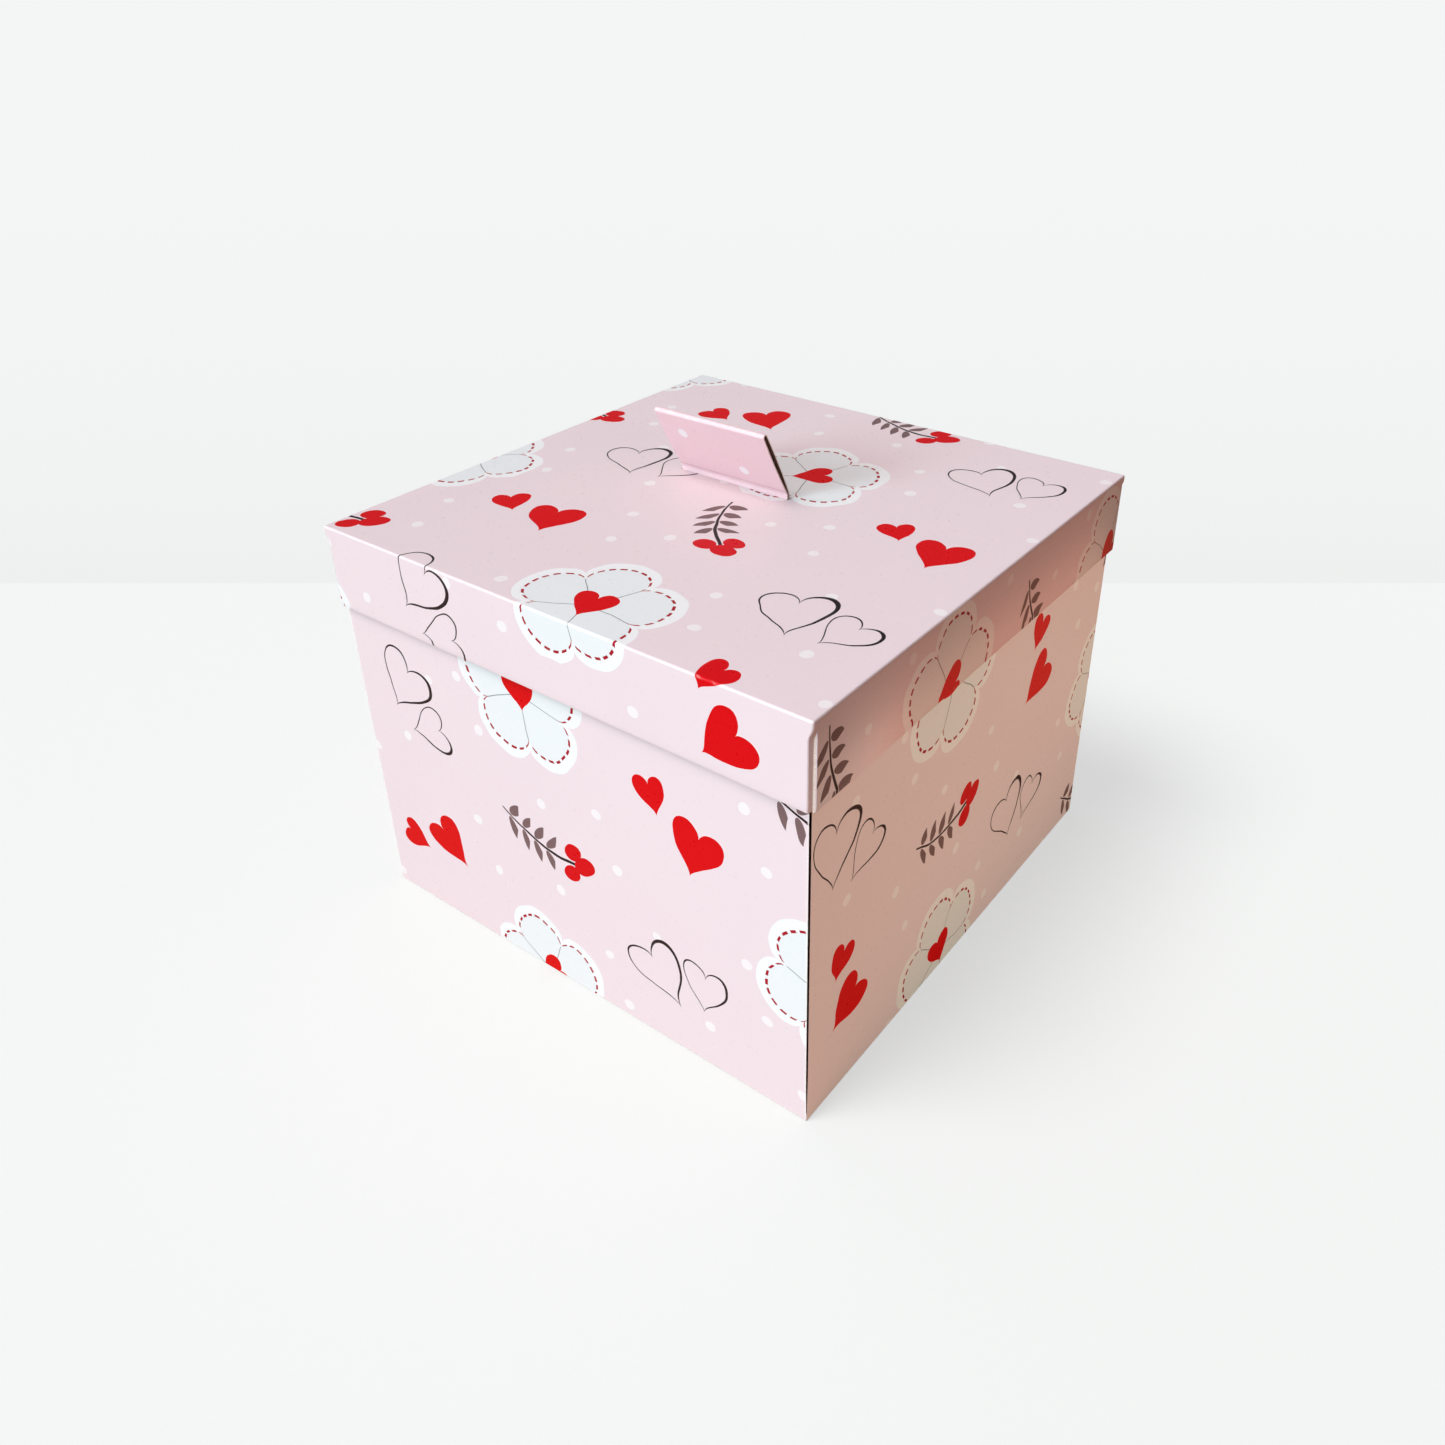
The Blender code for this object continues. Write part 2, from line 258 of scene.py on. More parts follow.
def sprig_motif():
    """A bent stem with paired leaves and three berries."""
    bend, rise, leaf_pitch = -0.014, 1.2, 4.6
    stem_half, leafy_half = 13.5, 9.1
    gives = dict.fromkeys(("Stem", "Leaves", "Berries"), "Float")
    tree, given = new_group("sprig_motif", POINT, gives)
    spot = put(tree, SPLIT, [given["Point"]]).outputs
    x = spot["X"]
    # Both sides of the bent stem are folded on each other, so that one leaf serves for a pair
    side = steps(
        tree, x, ("MULTIPLY", x), ("MULTIPLY_ADD", bend, spot["Y"]), ("ADD", rise), ("ABSOLUTE",)
    )
    thickness = steps(tree, x, ("MULTIPLY_ADD", 0.010, 0.42))
    along = steps(tree, x, ("ADD", 3.0), ("ABSOLUTE",), ("LESS_THAN", stem_half))
    stem = steps(tree, side, ("LESS_THAN", thickness), ("MULTIPLY", along))
    cell = steps(tree, x, ("ADD", 15.6), ("DIVIDE", leaf_pitch), ("FRACT",))
    cell = steps(tree, cell, ("MULTIPLY_ADD", leaf_pitch, -2.9))
    leaf = put(
        tree, MAPPING,
        {"Vector": put(tree, JOIN, [cell, side, 0.0]), "Location": (0.55, 3.2, 0.0),
         "Rotation": (0.0, 0.0, radians(56)), "Scale": (3.1, 1.25, 1.0)},
        vector_type="TEXTURE",
    )
    along = steps(tree, x, ("ADD", 6.4), ("ABSOLUTE",), ("LESS_THAN", leafy_half))
    leaf = put(tree, VECTOR, [leaf], operation="LENGTH")
    leaves = steps(tree, leaf, ("LESS_THAN", 1.0), ("MULTIPLY", along))
    berries = dot_ink(tree, put(tree, JOIN, [x, side, 0.0]), [(12.6, 0.0, 3.2), (8.6, 3.7, 2.8)])
    put(tree, "NodeGroupOutput", [stem, leaves, berries])
    return tree


def lay_heart(tree, heart, point, x, y, turn, size):
    """A heart laid down here and turned, and the point as that heart sees it."""
    own = put(
        tree, MAPPING, {"Vector": point, "Location": (x, y, 0.0), "Rotation": (0.0, 0.0, turn)},
        vector_type="TEXTURE",
    )
    return put(tree, heart, {"Point": own, "Size": size}), own


def pen_hearts_motif(heart):
    """Two linked hearts drawn in one thin pen line, thick and thin."""
    line_half, line_swell = 0.043, 0.0022
    tree, given = new_group("pen_hearts_motif", POINT, {"Ink": "Float"})
    lines = []
    for place in ((-6.0, 0.5, 0.30, 8.8), (7.5, -1.5, -0.42, 6.8)):
        drawn, own = lay_heart(tree, heart, given["Point"], *place)
        weight = steps(tree, put(tree, SPLIT, [own]), ("MULTIPLY_ADD", line_swell, line_half))
        reach = drawn.outputs["Reach"]
        lines.append(steps(tree, reach, ("SUBTRACT", 1.0), ("ABSOLUTE",), ("LESS_THAN", weight)))
    put(tree, "NodeGroupOutput", [steps(tree, lines[0], ("MAXIMUM", lines[1]))])
    return tree


def scatter_cells(pitch, stray):
    """Half-drop cells over the sheet: a turned, shifted local point and the kind of motif, 0 to 3."""
    gives = {"Local": "Vector", "Square": "Vector", "Kind": "Float"}
    tree, given = new_group("scatter_cells", POINT, gives)
    spot = put(tree, SPLIT, [given["Point"]]).outputs
    column = steps(tree, spot["X"], ("DIVIDE", pitch), ("FLOOR",))
    odd = steps(tree, column, ("FLOORED_MODULO", 2.0))
    y = steps(tree, odd, ("MULTIPLY_ADD", pitch / 2, spot["Y"]))
    row = steps(tree, y, ("DIVIDE", pitch), ("FLOOR",))
    middle = [steps(tree, number, ("MULTIPLY_ADD", pitch, pitch / 2)) for number in (column, row)]
    middle = put(tree, JOIN, [*middle, 0.0])
    square = steps(tree, put(tree, JOIN, [spot["X"], y, 0.0]), ("SUBTRACT", middle), kind=VECTOR)
    cell = put(tree, JOIN, [column, row, 7.0])
    chance = put(tree, "ShaderNodeTexWhiteNoise", [cell], noise_dimensions="3D").outputs["Color"]
    chance = steps(tree, chance, ("SUBTRACT", (0.5, 0.5, 0.5)), kind=VECTOR)
    shift = steps(tree, chance, ("MULTIPLY", (stray, stray, 0.0)), kind=VECTOR)
    local = steps(tree, square, ("SUBTRACT", shift), kind=VECTOR)
    angle = steps(tree, put(tree, SPLIT, [chance]).outputs["Z"], ("MULTIPLY", 2.0))
    local = put(tree, "ShaderNodeVectorRotate", {"Vector": local, "Angle": angle}, rotation_type="Z_AXIS")
    kind = steps(tree, row, ("MULTIPLY_ADD", 2.0, column), ("FLOORED_MODULO", 4.0))
    put(tree, "NodeGroupOutput", [local, square, kind])
    return tree


def party_print():
    """The whole print on its pink ground: blossoms, hearts, sprigs, pen hearts and dots."""
    heart = heart_motif()
    dark, pale = "#2A2024", "#F7EFF2"
    tree, given = new_group("party_print", POINT | GROUND, {"Color": "Color"})
    # Hand-drawn edges: the point wanders by 0.4 mm over 9 mm
    wander = put(tree, NOISE, {"Vector": given["Point"], "Scale": 0.11, "Detail": 1.0}).outputs["Color"]
    wander = steps(tree, wander, ("SUBTRACT", (0.5, 0.5, 0.5)), ("MULTIPLY", (1.8, 1.8, 0.0)), kind=VECTOR)
    point = steps(tree, given["Point"], ("ADD", wander), kind=VECTOR)
    cell = put(tree, scatter_cells(pitch=45.0, stray=6.0), {"Point": point}).outputs
    kinds = [steps(tree, cell["Kind"], ("COMPARE", float(k), 0.5)) for k in range(4)]

    corner_dots = dot_ink(tree, cell["Square"], [(20.5, 17.5, 1.5), (-19.0, -19.5, 1.5)])
    colour = ink_over(tree, given["Ground"], corner_dots, pale)
    long_kinds = steps(tree, cell["Kind"], ("GREATER_THAN", 1.5))
    own_dots = dot_ink(tree, cell["Local"], [(-3.0, 12.5, 1.4), (5.0, -12.5, 1.6)])
    colour = ink_over(tree, colour, steps(tree, own_dots, ("MULTIPLY", long_kinds)), pale)

    flower = put(tree, blossom_motif(heart), {"Point": cell["Local"]}).outputs
    inks = [(flower["Shape"], 0, "#F6F5F8"), (flower["Inside"], 0, "#EDEFF3"), (flower["Line"], 0, "#8C8F96"),
            (flower["Stitch"], 0, "#A80E26"), (flower["Eye"], 0, "#DC020E")]
    for place in ((4.5, -2.0, 0.0, 7.4), (-10.0, 5.0, 0.5, 5.0)):
        inks.append((lay_heart(tree, heart, cell["Local"], *place)[0], 1, "#DC0210"))
    twig = put(tree, sprig_motif(), {"Point": cell["Local"]}).outputs
    inks += [(twig["Leaves"], 2, "#7C6264"), (twig["Stem"], 2, dark), (twig["Berries"], 2, "#D80414")]
    inks.append((put(tree, pen_hearts_motif(heart), {"Point": cell["Local"]}), 3, dark))
    for ink, kind, code in inks:
        colour = ink_over(tree, colour, steps(tree, ink, ("MULTIPLY", kinds[kind])), code)
    put(tree, "NodeGroupOutput", [colour])
    return tree


def strip_print():
    """The handle strip's print: four dots, and a painted shade line 0.25 mm wide in the crease where it bends
    out of the slit.
    """
    tree, given = new_group("strip_print", POINT | GROUND, {"Color": "Color"})
    places = [(-10.8, 7.0, 1.5), (6.1, 16.1, 1.5), (9.0, -17.0, 1.5), (-7.0, -8.0, 1.5)]
    colour = ink_over(tree, given["Ground"], dot_ink(tree, given["Point"], places), "#FBF1F5")
    run = put(tree, SPLIT, [given["Point"]]).outputs["Y"]
    # A darker pink line painted as the shade in the crease where the strip leaves the slit
    crease_shade = steps(tree, run, ("ABSOLUTE",), ("COMPARE", crease_shade_place / mm, 0.13))
    put(tree, "NodeGroupOutput", [ink_over(tree, colour, crease_shade, "#DDA7B5")])
    return tree


def new_material(name):
    """A material with an empty tree, and its point in the piece's own space."""
    material = bpy.data.materials.new(name)
    material.use_nodes = True
    material.node_tree.nodes.clear()
    return material, material.node_tree, put(material.node_tree, "ShaderNodeTexCoord").outputs["Object"]


def finish_card(tree, colour, rough, height, bump_mm, **sockets):
    """The card's own shader, with its colour, roughness and relief."""
    bump = put(tree, "ShaderNodeBump", {"Strength": 1.0, "Distance": bump_mm * mm, "Height": height})
    shader = put(tree, "ShaderNodeBsdfPrincipled", {"Base Color": colour, "Roughness": rough, "Normal": bump})
    for name, value in sockets.items():
        shader.inputs[name.replace("_", " ")].default_value = value
    put(tree, "ShaderNodeOutputMaterial", [shader])


def printed_laminate(name, artwork, light, dark):
    """Offset-printed ivory board under gloss film: a clear smooth gloss that lies a little uneven
    over the fibres, crisp inks, and film that goes pale where the board is folded."""
    material, tree, at = new_material(name)
    point = put(tree, "ShaderNodeUVMap", uv_map="sheet")
    point = steps(tree, point, ("MULTIPLY", (1 / mm, 1 / mm, 1 / mm)), kind=VECTOR)
    # Press ground: tone drifts by under 1% over 30 mm
    drift = put(tree, NOISE, {"Vector": at, "Scale": 1 / (30 * mm), "Detail": 2.0})
    ground = ink_over(tree, dark, drift, light)
    colour = put(tree, artwork, {"Point": point, "Ground": ground})
    # Folds: the film whitens in ragged cracks about 1 mm across, drawn coarse so that they show
    worn = put(tree, "ShaderNodeAttribute", attribute_name="wear").outputs["Fac"]
    crack = put(tree, NOISE, {"Vector": at, "Scale": 1 / (1.6 * mm), "Detail": 4.0})
    crack = put(tree, RANGE, [crack, 0.50, 0.72, 0.0, 1.0])
    crack = steps(tree, crack, ("MULTIPLY", worn), ("MULTIPLY", 0.55))
    colour = ink_over(tree, colour, crack, "#FAF4F2")
    # Film: orange peel of 0.9 mm and long waves of 26 mm in the board below
    peel = put(tree, NOISE, {"Vector": at, "Scale": 1 / (0.9 * mm), "Detail": 2.0})
    waves = put(tree, NOISE, {"Vector": at, "Scale": 1 / (26 * mm), "Detail": 1.0})
    height = steps(tree, waves, ("MULTIPLY_ADD", 14.0, peel))
    rough = put(tree, RANGE, [peel, 0.3, 0.7, 0.27, 0.35])
    rough = steps(tree, crack, ("MULTIPLY_ADD", 0.25, rough))
    finish_card(
        tree, colour, rough, height, bump_mm=0.006, IOR=1.5, Specular_IOR_Level=0.20, Coat_Weight=0.10,
        Coat_Roughness=0.12,
    )
    return material


def board_core(name, light, dark):
    """The cut edge of ivory board: pressed fibre layers, matte and a little furry."""
    material, tree, at = new_material(name)
    fibre = put(tree, NOISE, {"Vector": at, "Scale": 1 / (0.35 * mm), "Detail": 3.0})
    tone = put(tree, RANGE, [fibre, 0.35, 0.65, 0.0, 1.0])
    rough = put(tree, RANGE, [fibre, 0.3, 0.7, 0.75, 0.9])
    finish_card(tree, ink_over(tree, dark, tone, light), rough, fibre, bump_mm=0.03)
    return material


def plain_board(name, light, dark, roughness, grain_mm):
    """Uncoated board: loose fibres that run one way, and a dull, dry surface."""
    material, tree, at = new_material(name)
    # Fibres half a millimetre wide and three times as long, drawn coarse so that they show
    fibre = put(tree, MAPPING, {"Vector": at, "Scale": (1.0, 1.0, 0.35)})
    fibre = put(tree, NOISE, {"Vector": fibre, "Scale": 1 / (grain_mm * mm), "Detail": 5.0})
    cloud = put(tree, NOISE, {"Vector": at, "Scale": 1 / (18 * mm), "Detail": 2.0})
    tone = steps(tree, cloud, ("MULTIPLY_ADD", 0.4, fibre))
    tone = put(tree, RANGE, [tone, 0.45, 0.95, 0.0, 1.0])
    rough = put(tree, RANGE, [fibre, 0.3, 0.7, roughness - 0.06, roughness + 0.06])
    finish_card(tree, ink_over(tree, dark, tone, light), rough, fibre, bump_mm=0.02)
    return material


def card_point():
    """A point in the plane of its card, in millimetres: across and back on a floor, across and up on
    a leaf."""
    tree, _ = new_group("card_point", {}, POINT)
    place = put(tree, "ShaderNodeTexCoord").outputs
    spot = steps(tree, place["Object"], ("MULTIPLY", (1 / mm, 1 / mm, 1 / mm)), kind=VECTOR)
    spot = put(tree, SPLIT, [spot]).outputs
    facing = put(tree, SPLIT, [steps(tree, place["Normal"], ("ABSOLUTE",), kind=VECTOR)]).outputs
    sideways, level = [steps(tree, facing[axis], ("GREATER_THAN", 0.7)) for axis in "XZ"]
    across = put(tree, MIX, [sideways, spot["X"], spot["Y"]])
    up = put(tree, MIX, [level, spot["Z"], spot["Y"]])
    put(tree, "NodeGroupOutput", [put(tree, JOIN, [across, up, 0.0])])
    return tree


def linen_board(name, point_in_card, light, dark, roughness, dots=None):
    """Dyed board pressed between linen rolls: fine threads cross in its surface and catch the light, and
    the dye is paler on the ridges. It may carry a print of small round dots."""
    material, tree, _ = new_material(name)
    point = put(tree, point_in_card)
    # Threads 0.7 mm apart that fade in and out over 12 mm: twice the real pitch, so that they show
    threads = []
    for scale in ((1 / 0.7, 1 / 12, 1.0), (1 / 12, 1 / 0.7, 1.0)):
        thread = put(tree, MAPPING, {"Vector": point, "Scale": scale})
        threads.append(put(tree, NOISE, {"Vector": thread, "Scale": 1.0, "Detail": 1.0}))
    linen = steps(tree, threads[0], ("ADD", threads[1]))
    colour = ink_over(tree, dark, put(tree, RANGE, [linen, 0.75, 1.25, 0.0, 1.0]), light)
    if dots:
        cells = put(tree, scatter_cells(pitch=8.0, stray=0.0), {"Point": point})
        colour = ink_over(tree, colour, dot_ink(tree, cells.outputs["Square"], [(0.0, 0.0, 0.95)]), dots)
    rough = put(tree, RANGE, [linen, 0.7, 1.3, roughness + 0.06, roughness - 0.06])
    finish_card(tree, colour, rough, linen, bump_mm=0.07)
    return material


def printed_paper(name, point_in_card, light, dark, hearts, dots):
    """Uncoated text paper with a small all-over print: flat dull inks that sink in a little, on a dry
    sheet with soft felt marks."""
    material, tree, _ = new_material(name)
    point = put(tree, point_in_card)
    felt = put(tree, NOISE, {"Vector": point, "Scale": 1 / 1.3, "Detail": 4.0})
    colour = ink_over(tree, dark, put(tree, RANGE, [felt, 0.3, 0.7, 0.0, 1.0]), light)
    cells = put(tree, scatter_cells(pitch=9.0, stray=0.8), {"Point": point}).outputs
    small_dots = dot_ink(tree, cells["Square"], [(4.5, 0.0, 0.55), (-4.5, 0.0, 0.55)])
    colour = ink_over(tree, colour, small_dots, dots)
    uneven = steps(tree, felt, ("MULTIPLY_ADD", 0.35, 0.75))
    ink = steps(tree, put(tree, heart_motif(), {"Point": cells["Local"], "Size": 1.7}), ("MULTIPLY", uneven))
    colour = ink_over(tree, colour, ink, hearts)
    rough = put(tree, RANGE, [felt, 0.3, 0.7, 0.74, 0.86])
    finish_card(tree, colour, rough, felt, bump_mm=0.02)
    return material


def sewing_thread(name, light, dark):
    """Spun polyester thread: a soft sheen, and a twist that shows as slanting bands 0.35 mm apart."""
    material, tree, at = new_material(name)
    bands_per_unit = 0.314
    twist = put(
        tree, "ShaderNodeTexWave", {"Vector": at, "Scale": bands_per_unit / (0.35 * mm), "Distortion": 1.0},
        bands_direction="DIAGONAL",
    ).outputs["Fac"]
    fuzz = put(tree, NOISE, {"Vector": at, "Scale": 1 / (0.15 * mm), "Detail": 2.0})
    rough = put(tree, RANGE, [fuzz, 0.3, 0.7, 0.5, 0.65])
    finish_card(tree, ink_over(tree, dark, twist, light), rough, twist, bump_mm=0.05, Sheen_Weight=0.3)
    return material


def show(name, mesh, sharp=None):
    """A piece in the scene, with flat panels shaded flat beside round folds where an angle is given."""
    piece = bpy.data.objects.new(name, mesh)
    bpy.context.scene.collection.objects.link(piece)
    if sharp:
        mesh.set_sharp_from_angle(angle=radians(sharp))
        shading = piece.modifiers.new("flat_panels", "WEIGHTED_NORMAL")
        shading.keep_sharp = True
    return piece


def piece_from(bm, name, materials, sharp=35.0):
    """A finished piece, its place in its mesh."""
    mesh = bpy.data.meshes.new(name)
    bm.to_mesh(mesh)
    bm.free()
    for material in materials:
        mesh.materials.append(material)
    return show(name, mesh, sharp)


# The lid

Ring = namedtuple("Ring", "half corner z inset run wear paint", defaults=(0.0, 0.0, 0.0, 0))


def smooth_step(share):
    """A share from 0 to 1 that starts and ends gently."""
    share = min(max(share, 0.0), 1.0)
    return share * share * (3 - 2 * share)


def turned(x, y, side):
    """A point of the front side, taken round to another side."""
    for _ in range(side % 4):
        x, y = -y, x
    return x, y


def lid_rings():
    """The sheet's run from the top fold over the skirt, round the hem and up to the underside. A ring has
    its half width, corner radius, height, corner inset, run along the sheet, wear and paint."""
    rings = []
    r = lid_fold_radius
    low = box_height - skirt_depth
    for step in range(fold_steps + 1):
        turn = pi / 2 * step / fold_steps
        wear = 2 * sin(turn) * cos(turn)
        out, up = r * sin(turn), r * cos(turn)
        rings.append(Ring(lid_half - r + out, out, box_height - r + up, run=r * turn, wear=wear))
    # Below its folds each corner draws in over 3.4 mm
    run = r * pi / 2
    drops = [drop * mm for drop in (0.4, 1.0, 1.7, 2.6, 3.4, 4.4, 5.5, 8.0, 11.0, 14.0, 17.0, 19.5, 20.4)]
    for drop in drops:
        share = smooth_step((drop - 1.0 * mm) / (3.4 * mm))
        corner = r + (corner_radius - r) * share
        rings.append(Ring(lid_half, corner, box_height - r - drop, corner_inset * share, run + drop))
    roll = skirt_wall / 2
    run += drops[-1]
    for step in range(1, fold_steps + 1):
        turn = pi * step / fold_steps
        share = (1 + cos(turn)) / 2
        corner = inner_corner_round + (corner_radius - inner_corner_round) * share
        inset = inner_corner_inset + (corner_inset - inner_corner_inset) * share
        half, z = lid_half - roll + roll * cos(turn), low + roll - roll * sin(turn)
        rings.append(Ring(half, corner, z, inset, run + roll * turn, 0.7 * sin(turn)))
    run += roll * pi
    stop = box_height - lid_card - hem_stop
    for z in (low + 4 * mm, low + 10 * mm, low + 16 * mm, stop):
        rings.append(Ring(lid_half - skirt_wall, inner_corner_round, z, inner_corner_inset, run + z - low))
    above = lid_half - lid_card
    under = box_height - lid_card
    for inward, corner, z, paint in (
        (0.0, under_fold, stop, 1), (0.0, under_fold, under - under_fold, 2),
        (under_fold / 3, under_fold * 2 / 3, under - under_fold / 3, 2), (under_fold, 0.0, under, 2),
    ):
        rings.append(Ring(above - inward, corner, z, paint=paint))
    return rings


def lid_columns():
    """Places round the lid: side, kind of place and how far along it lies. On the odd sides the skirt's
    own flap ends in a step over the tabs that its neighbours send round the corners."""
    columns = []
    seam = lid_half - seam_wrap
    even = [("flat", i / half_side_steps - 1) for i in range(2 * half_side_steps + 1)]
    odd = [("tab", -1.0), ("step_foot", -seam), ("step_edge", -seam), ("step_top", -seam)]
    odd += [("face", i / half_side_steps - 1) for i in range(1, 2 * half_side_steps)]
    odd += [("step_top", seam), ("step_edge", seam), ("step_foot", seam), ("tab", 1.0)]
    for side in range(4):
        columns += [(side, kind, t) for kind, t in (odd if side % 2 else even)]
        columns += [(side, "arc", pi / 2 * step / corner_steps) for step in range(1, corner_steps)]
    return columns


def lid_place(column, ring):
    """A column's point on a ring."""
    side, kind, t = column
    straight = ring.half - ring.corner
    out = ring.half
    bow = 0.0
    if kind == "flat":
        along = t * straight
        if abs(t) == 1:
            along -= ring.inset * t
        bow = skirt_bow * (1 - t * t)
    elif kind == "arc":
        along = straight + ring.corner * sin(t)
        out = straight + ring.corner * cos(t)
        if side % 2:
            out -= ring.inset
        else:
            along -= ring.inset
    elif kind == "tab":
        along = t * straight
        out -= ring.inset
    elif kind == "face":
        along = t * (lid_half - seam_wrap)
        bow = skirt_bow * (1 - t * t)
    else:
        share = max(ring.inset - inner_corner_inset, 0.0) / (corner_inset - inner_corner_inset)
        drop = (box_height - ring.z) / skirt_depth
        # The step grows deeper towards the hem
        foot = ring.inset - corner_slant * share * (1.6 - 0.9 * drop)
        edge = min(foot, skirt_end_round * share + inner_corner_inset * (1 - share))
        back, depth = {
            "step_foot": (0.0, foot),
            "step_edge": (skirt_end_round / 5, edge),
            "step_top": (skirt_end_round, 0.0),
        }[kind]
        along = t - back if t > 0 else t + back
        out -= depth
    out -= bow * smooth_step((box_height - ring.z) / (20 * mm))
    return Vector((*turned(along, -out, side), ring.z))


def on_sheet(column, run, own):
    """Where a place of the skirts lies on the flat sheet, which carries on from the top panel: on its own
    side's flap, or on the tab that a neighbour's flap sends round the corner."""
    side, kind, t = column
    straight = lid_half - lid_fold_radius
    if own:
        along = t * (lid_half - seam_wrap) if kind == "face" else t
    elif kind == "flat":
        along = t * straight
    elif side % 2 == 0:
        along = straight + lid_fold_radius * t
    elif kind == "arc":
        along = -straight - lid_fold_radius * (pi / 2 - t)
        side += 1
    else:
        way = -1 if t > 0 else 1
        past = 0.0 if kind == "tab" else straight - abs(t)
        along = way * (straight + lid_fold_radius * pi / 2 + past)
        side -= way
    return turned(along, -straight - run, side)


def slit_spot(index, count, z):
    """The rim of the handle's slit, in step with the columns."""
    length = handle_width / 2 + slit_clearance
    breadth = handle_card + slit_clearance / 4
    corners = ((-length, -breadth), (length, -breadth), (length, breadth), (-length, breadth))
    side, step = divmod(index, count // 4)
    spot = Vector(corners[side]).lerp(Vector(corners[(side + 1) % 4]), step / (count // 4))
    return Vector((spot.x + handle_x, spot.y + handle_y, z))


def sag_at(spot):
    """How far the lid's top sinks at a place."""
    return top_sag * max((1 - (spot.x / lid_half) ** 2) * (1 - (spot.y / lid_half) ** 2), 0.0)


def make_lid(materials):
    """The lid in one closed mesh: top, folds, doubled skirts with wrapped corners, and the slit."""
    columns = lid_columns()
    rings = lid_rings()
    count = len(columns)
    neighbours = [(i, (i + 1) % count) for i in range(count)]
    bm = bmesh.new()
    sheet = bm.loops.layers.uv.new("sheet")
    wear = bm.verts.layers.float.new("wear")
    grid = []
    for ring in rings:
        grid.append([bm.verts.new(lid_place(column, ring)) for column in columns])
        for vert in grid[-1]:
            vert[wear] = ring.wear

    def skin(corners, paint, places=None, smooth=True):
        """One face in its paint. Unless its places on the sheet are given, it is part of the top panel."""
        face = bm.faces.new(corners)
        face.material_index = paint
        face.smooth = smooth
        for number, loop in enumerate(face.loops):
            place = places[number] if places else loop.vert.co.xy
            loop[sheet].uv = Vector(place) + Vector(lid_on_sheet)

    for k, lower in enumerate(rings[1:]):
        for i, j in neighbours:
            spots = ((i, k), (i, k + 1), (j, k + 1), (j, k))
            kinds = {columns[i][1], columns[j][1]}
            cut = kinds <= {"step_foot", "step_edge"} and lower.paint == 0
            own = kinds <= {"face", "step_top"}
            places = [on_sheet(columns[column], rings[row].run, own) for column, row in spots]
            skin([grid[row][column] for column, row in spots], 1 if cut else lower.paint, places)

    def panel(edge_row, z, paint, way):
        """A flat panel from a ring of the sheet to the slit's rim."""
        rows = [edge_row]
        for step in range(1, panel_steps + 1):
            row = []
            for i, vert in enumerate(edge_row):
                spot = vert.co.lerp(slit_spot(i, count, z), step / panel_steps)
                row.append(bm.verts.new((spot.x, spot.y, z - sag_at(spot))))
            rows.append(row)
        for outer, inner in zip(rows, rows[1:]):
            for i, j in neighbours:
                skin((outer[i], outer[j], inner[j], inner[i])[::way], paint)
        return rows[-1]

    top_rim = panel(grid[0], box_height, 0, 1)
    under_rim = panel(grid[-1], box_height - lid_card, 2, -1)
    for i, j in neighbours:
        skin((top_rim[i], top_rim[j], under_rim[j], under_rim[i]), 1, smooth=False)
    bmesh.ops.remove_doubles(bm, verts=bm.verts, dist=2 * weld)
    bmesh.ops.recalc_face_normals(bm, faces=bm.faces)
    piece = piece_from(bm, "lid_print", materials)
    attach(piece, "lid")
    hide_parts("lid")


# The handle


def handle_line():
    """The strip's mid line in Y and Z from the slit at the lid's top: back flange, back leaf, fold,
    front leaf and front flange."""
    under = -lid_card - glue_line - handle_card / 2
    flange = []
    for step in range(flange_steps + 1):
        share = step / flange_steps
        flange.append((handle_flange * (1 - share) + handle_bend_start * share, under))
    bend = [
        (handle_bend_start - handle_bend_radius * sin(turn), under + handle_bend_radius * (1 - cos(turn)))
        for turn in (pi / 8, pi / 4, pi * 3 / 8, pi / 2)
    ]
    fold = handle_length - handle_pivot_height - handle_fold_radius - handle_card / 2
    foot = 0.2 * mm - handle_pivot_height
    leaf = []
    for step in range(leaf_steps + 1):
        share = step / leaf_steps
        spread = handle_foot_offset * (1 - share) + handle_fold_radius * share
        leaf.append((spread + handle_belly * sin(pi * share), foot + (fold - foot) * share))
    turns = [pi * step / handle_fold_steps for step in range(1, handle_fold_steps)]
    over = [(handle_fold_radius * cos(turn), fold + handle_fold_radius * sin(turn)) for turn in turns]
    line = flange + bend
    for y, z in leaf + over + [(-y, z) for y, z in reversed(leaf)]:
        leaned_y = y * cos(handle_lean) - z * sin(handle_lean)
        leaned_z = y * sin(handle_lean) + z * cos(handle_lean)
        rising = smooth_step((z - foot) / handle_lean_in)
        line.append((y + (leaned_y - y) * rising, handle_pivot_height + z + (leaned_z - z) * rising))
    return line + [(-y, z) for y, z in reversed(bend)] + [(-y, z) for y, z in reversed(flange)]


